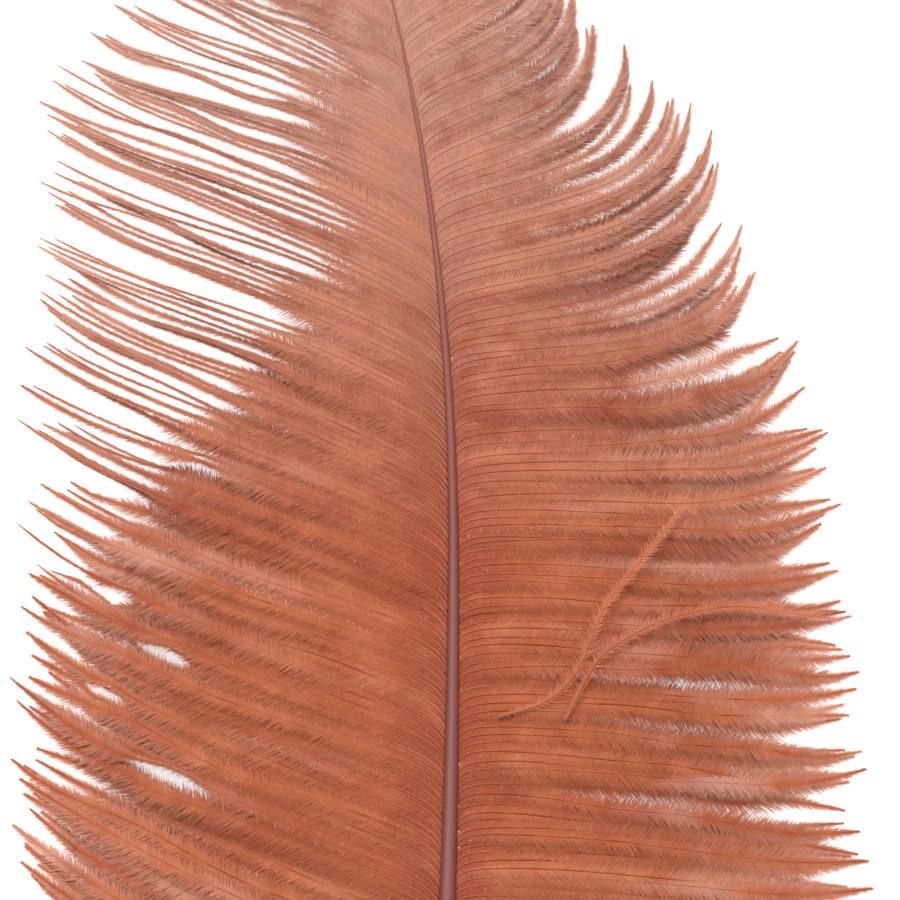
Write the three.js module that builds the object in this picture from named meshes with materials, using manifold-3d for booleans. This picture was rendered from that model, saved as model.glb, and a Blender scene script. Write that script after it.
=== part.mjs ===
// An ostrich feather, dyed terracotta, lying on a flat surface with its smooth side up.
// It grew as one piece, so it is one solid: a bare quill, the rachis that goes on from it,
// and the barbs of both vanes gathered into locks that are fused to the rachis.
// Millimetres. +Y runs from the quill's end to the crown, +Z is up, and the surface is z = 0.
// The feather is built out from its quill's end, and set over the origin when it is whole.
import * as THREE from 'three';
import { mergeVertices } from 'three/addons/utils/BufferGeometryUtils.js';
import Module from 'manifold-3d';

// Driving dimensions. A station is a distance along Y from the quill's end.
const RACHIS_LENGTH = 350;
const QUILL_LENGTH = 38;
const QUILL_RADIUS = 2.5;
const TIP_RADIUS = 0.4;
const BLUNT_LENGTH = 10;
const BLUNT_RADIUS = 0.9;
const TAPER_POWER = 1.35;
const GROOVE_DEPTH = 0.34;
const GROOVE_ANGLE = 0.45;

// The rachis arches off the surface and bows sideways, most of all towards the crown.
const REST_HEIGHT = 2;
const ARCH_HEIGHT = 15;
const ARCH_POWER = 1.25;
const BOW_STATION = 196;
const QUILL_BOW = 12;
const CROWN_BOW = 23;

// Locks on each side, from the first above the quill to the last below the crown.
const LOCKS_A_SIDE = 30;
const FIRST_LOCK = 43;
const LAST_LOCK = 344;
const CROWN_LOCKS = 3;
const CROWN_LOCK_LENGTH = 31;
const CROWN_LOCK_LOSS = 0.08;
const CROWN_SPREAD = 0.36;
const CROWN_ROLL = 0.2;
const CROWN_WIDTH = 8;
const CROWN_INSET = 2;
const ROOT_THICKNESS = 1;
const LOCK_THICKNESS = 2;
const TIP_THICKNESS = 1;
const ROOT_FULLNESS = 0.25;
const FILL_RATE = 4;
const POINT_POWER = 3.2;
const LOCK_ROLL = 0.14;
const STATION_SCATTER = 3;
const LENGTH_SCATTER = 0.12;
const LIE_SCATTER = 4.5;
const LOCK_RINGS = 7;
const STEPS_A_RING = 6;
const DROOP_POWER = 1.3;
const TIP_HEIGHT = 0.2;

// How the locks grow at stations along the rachis, per side: their length and width, the angle
// they lie at once clear of the rachis, and the further angle they turn through by their tips, both
// in degrees from square to the rachis towards the crown. They leave the rachis at the root angle,
// and come round to their lie over a few root bends. The higher the lift power, the nearer the tips
// that turn comes. The left vane is the one on -X, and it is parted into thin locks past its middle.
const STATIONS = [38, 60, 95, 140, 175, 208, 225, 242, 262, 300, 350];
const VANES = {
  left: {
    side: -1,
    rootAngle: 70,
    rootBend: 3.2,
    length: [28, 55, 71, 75, 76.5, 78, 78.5, 76, 69, 50, 30],
    width: [9, 12, 13.5, 14, 14, 13, 11, 8.5, 7, 8, 8],
    lie: [32, 26, 20, 17, 19, 29, 32, 36, 39, 45, 66],
    lift: [0, 8, 14, 18, 16, 6, 3, 1, 0, 3, 8],
    liftPower: 0.9,
  },
  right: {
    side: 1,
    rootAngle: 66,
    rootBend: 1.8,
    length: [25, 46, 60, 63, 63.5, 62, 61, 59, 51, 38, 29],
    width: [9, 12, 13.5, 14, 14, 14, 13, 12, 11, 9.5, 8],
    lie: [26, 18, 7, 1, 2, 1, 3, 9, 16, 30, 64],
    lift: [4, 6, 8, 8, 9, 34, 60, 68, 71, 52, 16],
    liftPower: 2,
  },
};

const SHAFT_SIDES = 12;
const SHAFT_RINGS = 26;
const RING_SPACING_POWER = 1.2;
const WEB_REACH = 7;
const WEB_DROP = 0.6;
const WEB_START = 8;
const WEB_END = 32;
const TANGENT_STEP = 0.5;
const SURFACE_SLAB = 600;
const MERGE_DISTANCE = 1e-4;

// A value between the ones given at STATIONS, on a smooth curve through them.
function along(values, station) {
  const last = STATIONS.length - 1;
  let k = 0;
  while (k < last - 1 && station > STATIONS[k + 1]) k++;
  const slope = (i) => {
    const a = Math.max(i - 1, 0);
    const b = Math.min(i + 1, last);
    return (values[b] - values[a]) / (STATIONS[b] - STATIONS[a]);
  };
  const span = STATIONS[k + 1] - STATIONS[k];
  const t = THREE.MathUtils.clamp((station - STATIONS[k]) / span, 0, 1);
  const rise = t * t * (3 - 2 * t);
  return (
    values[k] * (1 - rise) +
    values[k + 1] * rise +
    span * slope(k) * t * (1 - t) ** 2 -
    span * slope(k + 1) * t * t * (1 - t)
  );
}

// A repeatable number from 0 to 1 for each lock, side and trait, so that no two locks are alike.
const TRAIT = { station: 0, length: 0.3, lie: 0.6 };
const SCATTER_WAVE = { index: 12.9898, side: 78.233, size: 43758.5453 };

function scatter(index, side, trait) {
  const angle = (index + trait) * SCATTER_WAVE.index + side * SCATTER_WAVE.side;
  const wave = Math.sin(angle) * SCATTER_WAVE.size;
  return wave - Math.floor(wave);
}

// The axis of the shaft at a station.
function shaftAt(station) {
  const u = Math.min(station / RACHIS_LENGTH, 1);
  const early = Math.max(0, BOW_STATION - station) / BOW_STATION;
  const late = Math.max(0, station - BOW_STATION) / (RACHIS_LENGTH - BOW_STATION);
  const bow = QUILL_BOW * (1 - early ** 2) - CROWN_BOW * late ** 2;
  const height = REST_HEIGHT + ARCH_HEIGHT * Math.sin(Math.PI * u ** ARCH_POWER);
  return new THREE.Vector3(bow, station, height);
}

function shaftTangent(station) {
  const from = Math.max(station - TANGENT_STEP, 0);
  const to = Math.min(station + TANGENT_STEP, RACHIS_LENGTH);
  return shaftAt(to).sub(shaftAt(from)).normalize();
}

function shaftRadius(station) {
  const u = station / RACHIS_LENGTH;
  const taper = QUILL_RADIUS * Math.max(1 - u, 0) ** TAPER_POWER;
  const round = Math.sin((Math.min(station / BLUNT_LENGTH, 1) * Math.PI) / 2);
  const blunt = BLUNT_RADIUS + (QUILL_RADIUS - BLUNT_RADIUS) * round;
  return Math.max(Math.min(taper, blunt), TIP_RADIUS);
}

// A closed surface through rings of points, each ring seen anticlockwise from the far end.
function loft(rings) {
  const count = rings[0].length;
  const points = rings.flat();
  const faces = [];
  for (let r = 0; r < rings.length - 1; r++) {
    for (let i = 0; i < count; i++) {
      const a = r * count + i;
      const b = r * count + ((i + 1) % count);
      faces.push(a, b, b + count, a, b + count, a + count);
    }
  }
  const end = (rings.length - 1) * count;
  for (let i = 1; i < count - 1; i++) {
    faces.push(0, i + 1, i);
    faces.push(end, end + i, end + i + 1);
  }
  const geometry = new THREE.BufferGeometry().setFromPoints(points);
  geometry.setIndex(faces);
  return geometry;
}

// How far the barbs' bases stand out beside the rachis as one web.
function webReach(station) {
  const grown = THREE.MathUtils.smoothstep(station, QUILL_LENGTH, QUILL_LENGTH + WEB_START);
  const fading = THREE.MathUtils.smoothstep(RACHIS_LENGTH - station, 0, WEB_END);
  return WEB_REACH * grown * fading;
}

// The quill and rachis, with the web of barb bases on both sides: round above, and grooved along
// the underside beyond the quill.
function shaftGeometry() {
  const rings = [];
  for (let r = 0; r <= SHAFT_RINGS; r++) {
    const share = r / SHAFT_RINGS;
    const station = RACHIS_LENGTH * share ** RING_SPACING_POWER;
    const centre = shaftAt(station);
    const tangent = shaftTangent(station);
    const across = new THREE.Vector3(tangent.y, -tangent.x, 0).normalize();
    const up = across.clone().cross(tangent);
    const radius = shaftRadius(station);
    const grooved = THREE.MathUtils.smoothstep(station, QUILL_LENGTH, QUILL_LENGTH * 2);
    const ring = [];
    for (let i = 0; i < SHAFT_SIDES; i++) {
      const angle = (i / SHAFT_SIDES) * 2 * Math.PI - Math.PI / 2;
      const off = Math.min(i, SHAFT_SIDES - i) * ((2 * Math.PI) / SHAFT_SIDES);
      const dent = GROOVE_DEPTH * grooved * Math.exp(-((off / GROOVE_ANGLE) ** 2));
      const web = i % (SHAFT_SIDES / 2) === SHAFT_SIDES / 4 ? webReach(station) : 0;
      const reach = radius * (1 - dent) + web;
      ring.push(
        centre
          .clone()
          .addScaledVector(across, -reach * Math.cos(angle))
          .addScaledVector(up, reach * Math.sin(angle) - (web / WEB_REACH) * WEB_DROP),
      );
    }
    rings.push(ring);
  }
  return loft(rings);
}

// How much of the rachis's height a lock keeps: level at first, and level again on the surface.
function droop(share) {
  return Math.cos((share ** DROOP_POWER * Math.PI) / 2) ** 2;
}

// The middle line of a lock: out of the rachis steeply, round to its lie, and up again at the tip,
// while it comes down from the rachis to the surface.
function lockPath({ station, side, length, rootAngle, rootBend, lie, lift, liftPower }) {
  const root = shaftAt(station);
  const tangent = shaftTangent(station);
  const heading = Math.atan2(tangent.x, tangent.y);
  const steps = (LOCK_RINGS - 1) * STEPS_A_RING;
  const path = [];
  let outward = 0;
  let forward = 0;
  for (let n = 0; n <= steps; n++) {
    const share = n / steps;
    const bend = Math.exp((-share * length) / rootBend);
    const degrees = lie + (rootAngle - lie) * bend + lift * share ** liftPower;
    const angle = THREE.MathUtils.degToRad(degrees);
    const x = side * outward;
    path.push(
      new THREE.Vector3(
        root.x + x * Math.cos(heading) + forward * Math.sin(heading),
        root.y - x * Math.sin(heading) + forward * Math.cos(heading),
        TIP_HEIGHT + (root.z - TIP_HEIGHT) * droop(share),
      ),
    );
    outward += (Math.cos(angle) * length) / steps;
    forward += (Math.sin(angle) * length) / steps;
  }
  return path;
}

// A lock is a blade with a ridge above and a keel below, full for most of its length and drawn out
// to a point.
function lockGeometry(lock) {
  const path = lockPath(lock);
  const rings = [];
  for (let r = 0; r < LOCK_RINGS; r++) {
    const share = r / (LOCK_RINGS - 1);
    const at = r * STEPS_A_RING;
    const centre = path[at];
    const tangent = path[Math.min(at + 1, path.length - 1)]
      .clone()
      .sub(path[Math.max(at - 1, 0)])
      .normalize();
    const level = new THREE.Vector3(-tangent.y, tangent.x, 0).normalize();
    const across = level.applyAxisAngle(tangent, lock.roll);
    const up = tangent.clone().cross(across);
    const fullness = Math.min(ROOT_FULLNESS + share * FILL_RATE, 1) * (1 - share ** POINT_POWER);
    const width = Math.max(lock.width * fullness, TIP_THICKNESS);
    const swell = 4 * share * (1 - share);
    const ends = THREE.MathUtils.lerp(ROOT_THICKNESS, TIP_THICKNESS, share);
    const thickness = THREE.MathUtils.lerp(ends, LOCK_THICKNESS, swell);
    rings.push([
      centre.clone().addScaledVector(across, width / 2),
      centre.clone().addScaledVector(up, thickness / 2),
      centre.clone().addScaledVector(across, -width / 2),
      centre.clone().addScaledVector(up, -thickness / 2),
    ]);
  }
  return loft(rings);
}

// The locks of one vane, each a little different from the next.
function vaneLocks({ side, rootAngle, rootBend, length, width, lie, lift, liftPower }) {
  const locks = [];
  for (let k = 0; k < LOCKS_A_SIDE; k++) {
    const middle = THREE.MathUtils.lerp(FIRST_LOCK, LAST_LOCK, k / (LOCKS_A_SIDE - 1));
    const station = middle + STATION_SCATTER * (scatter(k, side, TRAIT.station) - 0.5);
    locks.push({
      station,
      side,
      rootAngle,
      rootBend,
      length: along(length, station) * (1 - LENGTH_SCATTER * scatter(k, side, TRAIT.length)),
      width: along(width, station),
      lie: along(lie, station) + LIE_SCATTER * (scatter(k, side, TRAIT.lie) - 0.5),
      lift: along(lift, station),
      liftPower,
      roll: side * LOCK_ROLL,
    });
  }
  return locks;
}

// The last locks fan out from the end of the rachis.
function crownLocks() {
  const locks = [];
  for (let k = 0; k < CROWN_LOCKS; k++) {
    const place = k - (CROWN_LOCKS - 1) / 2;
    const turn = place * CROWN_SPREAD;
    const degrees = 90 - THREE.MathUtils.radToDeg(turn);
    locks.push({
      station: RACHIS_LENGTH - CROWN_INSET,
      side: 1,
      rootAngle: degrees,
      rootBend: 1,
      length: CROWN_LOCK_LENGTH * (1 - CROWN_LOCK_LOSS * Math.abs(place)),
      lie: degrees,
      lift: 0,
      liftPower: 1,
      width: CROWN_WIDTH,
      roll: turn * CROWN_ROLL,
    });
  }
  return locks;
}

const wasm = await Module();
wasm.setup();

function toSolid(geometry) {
  const merged = mergeVertices(geometry, MERGE_DISTANCE);
  return new wasm.Manifold(
    new wasm.Mesh({
      numProp: 3,
      vertProperties: merged.getAttribute('position').array,
      triVerts: new Uint32Array(merged.index.array),
    }),
  );
}

function toGeometry(solid) {
  const mesh = solid.getMesh();
  const geometry = new THREE.BufferGeometry();
  geometry.setAttribute('position', new THREE.BufferAttribute(mesh.vertProperties, 3));
  geometry.setIndex(new THREE.BufferAttribute(mesh.triVerts, 1));
  return geometry;
}

// The slab that the surface takes away: lock tips lie flat along z = 0.
function belowSurface() {
  const slab = new THREE.BoxGeometry(SURFACE_SLAB, SURFACE_SLAB, SURFACE_SLAB);
  slab.deleteAttribute('normal');
  slab.deleteAttribute('uv');
  slab.translate(0, RACHIS_LENGTH / 2, -SURFACE_SLAB / 2);
  return toSolid(slab);
}

const locks = [...vaneLocks(VANES.left), ...vaneLocks(VANES.right), ...crownLocks()];
let plume = toSolid(shaftGeometry());
for (const lock of locks) plume = plume.add(toSolid(lockGeometry(lock)));
plume = plume.subtract(belowSurface());

const geometry = toGeometry(plume);
const box = new THREE.Box3().setFromBufferAttribute(geometry.getAttribute('position'));
const middle = box.getCenter(new THREE.Vector3());
geometry.translate(-middle.x, -middle.y, 0);

const feather = new THREE.Mesh(
  geometry,
  new THREE.MeshStandardMaterial({ color: 0xb46848, roughness: 0.85, metalness: 0 }),
);
feather.name = 'feather';

const group = new THREE.Group();
group.add(feather);

export default group;
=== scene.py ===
"""A terracotta ostrich feather that lies arched on a pale floor.

The feather is one grown thing: a bare quill, the rachis that goes on from it, and two vanes of
barbs, each barb a thin ramus fringed with barbules. Lengths in this file are millimetres measured
from the quill's end, +Y towards the crown, and become metres when a mesh is made.
"""

import logging
import math
from dataclasses import dataclass, field
from enum import Enum
from typing import Any

import bpy
import numpy as np
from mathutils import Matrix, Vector


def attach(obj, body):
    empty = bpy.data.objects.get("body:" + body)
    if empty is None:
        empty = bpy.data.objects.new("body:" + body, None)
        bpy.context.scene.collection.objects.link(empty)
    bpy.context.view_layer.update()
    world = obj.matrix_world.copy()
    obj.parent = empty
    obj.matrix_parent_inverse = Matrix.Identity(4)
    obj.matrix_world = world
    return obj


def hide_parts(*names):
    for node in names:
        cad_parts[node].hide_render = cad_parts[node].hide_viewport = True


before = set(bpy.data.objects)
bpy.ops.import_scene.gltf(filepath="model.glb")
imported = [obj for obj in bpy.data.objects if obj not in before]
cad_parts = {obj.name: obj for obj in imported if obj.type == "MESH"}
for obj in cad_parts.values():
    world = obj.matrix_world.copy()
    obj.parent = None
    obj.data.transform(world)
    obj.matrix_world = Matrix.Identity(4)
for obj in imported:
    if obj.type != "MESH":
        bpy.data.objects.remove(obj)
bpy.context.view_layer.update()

LOG = logging.getLogger("feather")
METRE = 0.001
BODY = "root"
CAD_NODE = "feather"
BAKE_MAP = "OFBake"


class Side(Enum):
    """A vane, by the sign of X on its side of the rachis."""

    LEFT = -1
    RIGHT = 1


class Zone(Enum):
    """A stretch of a vane that becomes one piece: its first and last station."""

    LOWER = (38.0, 134.0)
    MIDDLE = (134.0, 232.0)
    UPPER = (232.0, 352.0)


def smooth(value: np.ndarray | float, low: float, high: float) -> np.ndarray:
    """Rise from 0 at low to 1 at high, level at both ends.

    Args:
        value: Where the rise is read.
        low: The value up to which the result is 0.
        high: The value from which the result is 1.

    Returns:
        The rise, between 0 and 1, in the shape of value.
    """
    t = np.clip((np.asarray(value, dtype=float) - low) / (high - low), 0.0, 1.0)
    return t * t * (3.0 - 2.0 * t)


def linear(red: int, green: int, blue: int) -> tuple[float, float, float, float]:
    """Turn a screen colour, 0 to 255 a channel, into the linear RGBA that shaders take."""
    parts = [((c / 255 + 0.055) / 1.055) ** 2.4 if c > 10 else c / 255 / 12.92 for c in (red, green, blue)]
    return (parts[0], parts[1], parts[2], 1.0)


class NodeMaker:
    """Adds nodes to a shader or geometry tree and links them."""

    def __init__(self, tree: bpy.types.NodeTree) -> None:
        """Keep the tree that nodes are added to."""
        self.tree = tree

    def add(self, kind: str, inputs: dict[str | int, Any] | None = None, **settings: Any) -> bpy.types.Node:
        """Add one node.

        Args:
            kind: The node's type name.
            inputs: Value or source socket for each input, by the input's name or index.
            **settings: Properties of the node itself, such as its operation.

        Returns:
            The new node.
        """
        node = self.tree.nodes.new(kind)
        for name, value in settings.items():
            setattr(node, name, value)
        for key, value in (inputs or {}).items():
            if isinstance(value, bpy.types.NodeSocket):
                self.tree.links.new(value, node.inputs[key])
            else:
                node.inputs[key].default_value = value
        return node

    def math(self, operation: str, *values: Any) -> bpy.types.NodeSocket:
        """Add a Math node on the given values or sockets, and return its result."""
        return self.add("ShaderNodeMath", dict(enumerate(values)), operation=operation).outputs[0]

    def mix(self, factor: Any, first: Any, second: Any, blend: str = "MIX") -> bpy.types.NodeSocket:
        """Add a colour mix, and return its result.

        Args:
            factor: How much of second shows.
            first: Colour or socket below.
            second: Colour or socket above.
            blend: The blend mode.

        Returns:
            The mixed colour's socket.
        """
        node = self.add("ShaderNodeMix", data_type="RGBA", blend_type=blend)
        colours = [s for s in node.inputs if s.type == "RGBA"]
        for socket, value in ((node.inputs[0], factor), (colours[0], first), (colours[1], second)):
            if isinstance(value, bpy.types.NodeSocket):
                self.tree.links.new(value, socket)
            else:
                socket.default_value = value
        return next(s for s in node.outputs if s.type == "RGBA")

    def ramp(self, value: Any, low: float, high: float, bottom: float = 0.0, top: float = 1.0) -> Any:
        """Map value from low..high to bottom..top, held at both ends, and return the result."""
        return self.add("ShaderNodeMapRange", {0: value, 1: low, 2: high, 3: bottom, 4: top}).outputs[0]

    def noise(self, vector: Any, scale: float, detail: float) -> bpy.types.NodeSocket:
        """Add a noise, and return its strength."""
        return self.add("ShaderNodeTexNoise", {"Vector": vector, "Scale": scale, "Detail": detail}).outputs[0]

    def told(self, name: str) -> bpy.types.NodeSocket:
        """Read a number stored on the mesh in a shader tree."""
        return self.add("ShaderNodeAttribute", attribute_name=name).outputs["Fac"]

    def vector(self, *values: Any) -> bpy.types.NodeSocket:
        """Make a vector of up to three numbers or sockets."""
        return self.add("ShaderNodeCombineXYZ", dict(enumerate(values))).outputs[0]

    def split(self, vector: Any) -> Any:
        """Give the three parts of a vector."""
        return self.add("ShaderNodeSeparateXYZ", {0: vector}).outputs


def blank_material(name: str) -> tuple[bpy.types.Material, NodeMaker]:
    """Make a material with an empty tree, and the maker of its nodes.

    Args:
        name: The material's name.

    Returns:
        The material, and the maker of its nodes.
    """
    material = bpy.data.materials.new(name)
    material.use_nodes = True
    material.node_tree.nodes.clear()
    return material, NodeMaker(material.node_tree)


def put(name: str, data: bpy.types.ID) -> bpy.types.Object:
    """Put a new object with this data into the scene.

    Args:
        name: The object's name.
        data: Its mesh, light or camera.

    Returns:
        The object.
    """
    made = bpy.data.objects.new(name, data)
    bpy.context.scene.collection.objects.link(made)
    return made


@dataclass(frozen=True)
class ShaftCourse:
    """Where the shaft runs: its arch off the floor, its sideways bow and its taper."""

    length: float = 350.0
    quill_length: float = 38.0
    quill_radius: float = 2.5
    tip_radius: float = 0.16
    taper_power: float = 1.35
    rest_height: float = 2.0
    arch_height: float = 15.0
    arch_power: float = 1.25
    bow_station: float = 196.0
    quill_bow: float = 12.0
    crown_bow: float = 23.0

    def axis(self, station: np.ndarray | float) -> np.ndarray:
        """Give the shaft's middle line.

        Args:
            station: Distances along Y from the quill's end.

        Returns:
            One point for each station, in a last axis of three.
        """
        s = np.asarray(station, dtype=float)
        early = np.maximum(0.0, self.bow_station - s) / self.bow_station
        late = np.maximum(0.0, s - self.bow_station) / (self.length - self.bow_station)
        x = self.quill_bow * (1.0 - early**2) - self.crown_bow * late**2
        u = np.clip(s / self.length, 0.0, 1.0)
        z = self.rest_height + self.arch_height * np.sin(np.pi * u**self.arch_power)
        return np.stack([x, s, z], axis=-1)

    def tangent(self, station: np.ndarray | float, step: float = 0.5) -> np.ndarray:
        """Give the shaft's unit direction at each station.

        Args:
            station: Distances along Y from the quill's end.
            step: How far before and after it is measured.

        Returns:
            One unit vector for each station.
        """
        s = np.asarray(station, dtype=float)
        ahead = self.axis(np.minimum(s + step, self.length)) - self.axis(np.maximum(s - step, 0.0))
        return ahead / np.linalg.norm(ahead, axis=-1, keepdims=True)

    def radius(self, station: np.ndarray | float) -> np.ndarray:
        """Give the shaft's radius at each station."""
        u = np.clip(np.asarray(station, dtype=float) / self.length, 0.0, 1.0)
        return np.maximum(self.quill_radius * (1.0 - u) ** self.taper_power, self.tip_radius)


@dataclass(frozen=True)
class Growth:
    """How one vane's barbs grow at the table's stations along the rachis.

    Angles are degrees from square to the rachis towards the crown: at the root, once clear of the
    rachis (lie), and the further turn by the tip (lift).
    """

    side: Side
    root_angle: float
    root_bend: float
    length: tuple[float, ...]
    lie: tuple[float, ...]
    lift: tuple[float, ...]
    lift_power: float
    stations: tuple[float, ...] = (38, 60, 95, 140, 175, 208, 225, 242, 262, 300, 350)

    def along(self, values: tuple[float, ...], station: np.ndarray) -> np.ndarray:
        """Read a table between its stations, on a smooth curve through its values.

        Args:
            values: One value for each of the growth's stations.
            station: Where the table is read.

        Returns:
            The table's value at each station.
        """
        knots = np.asarray(self.stations, dtype=float)
        data = np.asarray(values, dtype=float)
        last = len(knots) - 1
        k = np.clip(np.searchsorted(knots, station, side="left") - 1, 0, last - 1)
        before = np.maximum(np.arange(last + 1) - 1, 0)
        after = np.minimum(np.arange(last + 1) + 1, last)
        slope = (data[after] - data[before]) / (knots[after] - knots[before])
        span = knots[k + 1] - knots[k]
        t = np.clip((station - knots[k]) / span, 0.0, 1.0)
        rise = t * t * (3.0 - 2.0 * t)
        bend = slope[k] * t * (1.0 - t) ** 2 - slope[k + 1] * t * t * (1.0 - t)
        return data[k] * (1.0 - rise) + data[k + 1] * rise + span * bend


LEFT_GROWTH = Growth(
    side=Side.LEFT,
    root_angle=70.0,
    root_bend=3.2,
    length=(28, 55, 71, 75, 76.5, 76.5, 76, 73.5, 67.5, 50, 30),
    lie=(32, 26, 20, 17, 19, 29, 32, 36, 39, 45, 66),
    lift=(0, 8, 14, 18, 16, 6, 3, 1, 0, 3, 8),
    lift_power=0.9,
)
RIGHT_GROWTH = Growth(
    side=Side.RIGHT,
    root_angle=66.0,
    root_bend=1.8,
    length=(25, 46, 60, 63, 63.5, 62, 59.5, 60, 49.5, 36, 29),
    lie=(26, 18, 7, 1, 2, 1, 3, 9, 16, 30, 64),
    lift=(4, 6, 8, 8, 9, 34, 60, 68, 71, 52, 16),
    lift_power=2.0,
)


@dataclass(frozen=True)
class Parting:
    """The line beyond which the left vane is parted: its X at each Y, from the quill's end."""

    y: tuple[float, ...] = (188.0, 201.5, 214.2, 220.2, 227.4, 233.4, 248.4, 259.4, 277.8, 320.0)
    x: tuple[float, ...] = (-60.0, -41.0, -33.5, -27.2, -17.8, -11.6, -3.9, -3.2, -5.9, -14.0)
    softness: float = 9.0
    closing: tuple[float, float] = (318.0, 345.0)

    def openness(self, points: np.ndarray, shift: np.ndarray) -> np.ndarray:
        """Give how parted the vane is at each point.

        Args:
            points: The barbs' middle lines.
            shift: How far from the parting's line each barb opens.

        Returns:
            0 where the vane is closed, 1 where it is parted.
        """
        edge = np.interp(points[..., 1], self.y, self.x) + shift
        open_still = 1.0 - smooth(points[..., 1], *self.closing)
        return smooth(edge - points[..., 0], -self.softness / 2, self.softness / 2) * open_still


@dataclass(frozen=True)
class Split:
    """A slit in a vane, where the barbs on its two sides stand apart."""

    x: float
    y: float
    turn: float
    half_length: float
    half_width: float
    margin: float = 1.6
    overrun: float = 1.05
    ends: float = 0.4
    taper: float = 0.9
    spread: float = 3.0

    def place(self, points: np.ndarray) -> tuple[np.ndarray, np.ndarray]:
        """Give how far along and across the slit each point lies, in its half length and in mm.

        Args:
            points: The barbs' middle lines.

        Returns:
            The place along in half lengths, and across in millimetres.
        """
        angle = math.radians(self.turn)
        east, north = points[..., 0] - self.x, points[..., 1] - self.y
        along = (east * math.cos(angle) + north * math.sin(angle)) / self.half_length
        return along, north * math.cos(angle) - east * math.sin(angle)

    def openness(self, points: np.ndarray) -> np.ndarray:
        """Give how bare of barbules the barbs are at each point, from 0 to 1.

        Args:
            points: The barbs' middle lines.

        Returns:
            0 away from the slit, 1 in it.
        """
        along, across = self.place(points)
        reach = self.half_width + self.margin
        within = smooth(self.overrun - np.abs(along), 0.0, self.ends)
        return within * smooth(reach - np.abs(across), 0.0, self.margin)

    def part(self, points: np.ndarray) -> np.ndarray:
        """Move the points at the slit away from its middle line.

        Args:
            points: The barbs' middle lines.

        Returns:
            The middle lines, with the slit open between them.
        """
        along, across = self.place(points)
        crown = np.argmin(np.abs(along), axis=1)
        side = np.sign(across[np.arange(len(across)), crown])[:, None]
        push = self.half_width * smooth(1.0 - np.abs(along), 0.0, self.taper)
        push = push * np.exp(-((across / (self.spread * self.half_width + 1.0)) ** 2)) * side
        angle = math.radians(self.turn)
        moved = points.copy()
        moved[..., 0] -= push * math.sin(angle)
        moved[..., 1] += push * math.cos(angle)
        return moved


@dataclass
class Barbs:
    """A bundle of barbs: their points, and what is told to the fringe at each point."""

    points: np.ndarray
    girth: np.ndarray
    fluff: np.ndarray
    breadth: np.ndarray
    splay: np.ndarray
    tone: np.ndarray
    share: np.ndarray

    def pick(self, rows: np.ndarray) -> "Barbs":
        """Give the bundle of only these barbs."""
        return Barbs(*(getattr(self, name)[rows] for name in self.__dataclass_fields__))


@dataclass(frozen=True)
class BarbStyle:
    """Sizes of a single barb and its fringe."""

    points: int = 24
    root_crowding: float = 1.3
    substeps: int = 92
    droop_power: float = 1.3
    tip_height: float = 0.7
    root_girth: float = 0.33
    mid_girth: float = 0.16
    tip_girth: float = 0.06
    root_narrows: tuple[float, float] = (0.03, 0.3)
    tip_narrows: tuple[float, float] = (0.3, 0.9)
    root_fluff: float = 2.3
    fluff: float = 3.4
    fluff_reach: float = 6.0
    tip_fluff: float = 1.25
    end_fluff: float = 0.35
    splay: float = 54.0
    root_splay: float = 48.0
    root_breadth: float = 0.9
    root_breadth_reach: float = 3.5
    outer_breadth: float = 0.4
    root_drop: float = 0.34
    root_limit: float = 0.6
    parted_fluff: float = 1.45
    parted_scatter: float = 0.35
    parted_splay: float = 22.0
    parted_end: float = 0.86

    def girth(self, share: np.ndarray) -> np.ndarray:
        """Give a ramus's radius at each share of its length: stout at its root, fine at its tip.

        Args:
            share: Where along the barb, as shares of its length.

        Returns:
            The radius in millimetres.
        """
        narrowed = smooth(share, *self.root_narrows)
        girth = self.root_girth + (self.mid_girth - self.root_girth) * narrowed
        return girth + (self.tip_girth - self.mid_girth) * smooth(share, *self.tip_narrows)

    def height(self, root: np.ndarray, share: np.ndarray) -> np.ndarray:
        """Give a barb's height off the floor.

        Args:
            root: The height of its root.
            share: Where along the barb, as shares of its length.

        Returns:
            The height at each share, which falls from the root's to the tip's.
        """
        fall = np.cos(np.clip(share, 0.0, 1.0) ** self.droop_power * np.pi / 2) ** 2
        return self.tip_height + (root - self.tip_height) * fall


LEFT_SPLITS = (
    Split(x=-30.5, y=164.5, turn=156.0, half_length=8.0, half_width=0.75),
    Split(x=-31.5, y=184.2, turn=152.0, half_length=5.5, half_width=0.6),
    Split(x=-41.0, y=178.5, turn=150.0, half_length=5.0, half_width=0.75),
    Split(x=-39.5, y=194.5, turn=150.0, half_length=4.0, half_width=0.55),
    Split(x=-36.0, y=198.5, turn=150.0, half_length=3.2, half_width=0.5),
    Split(x=-26.0, y=214.0, turn=152.0, half_length=4.4, half_width=0.5),
)


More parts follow.
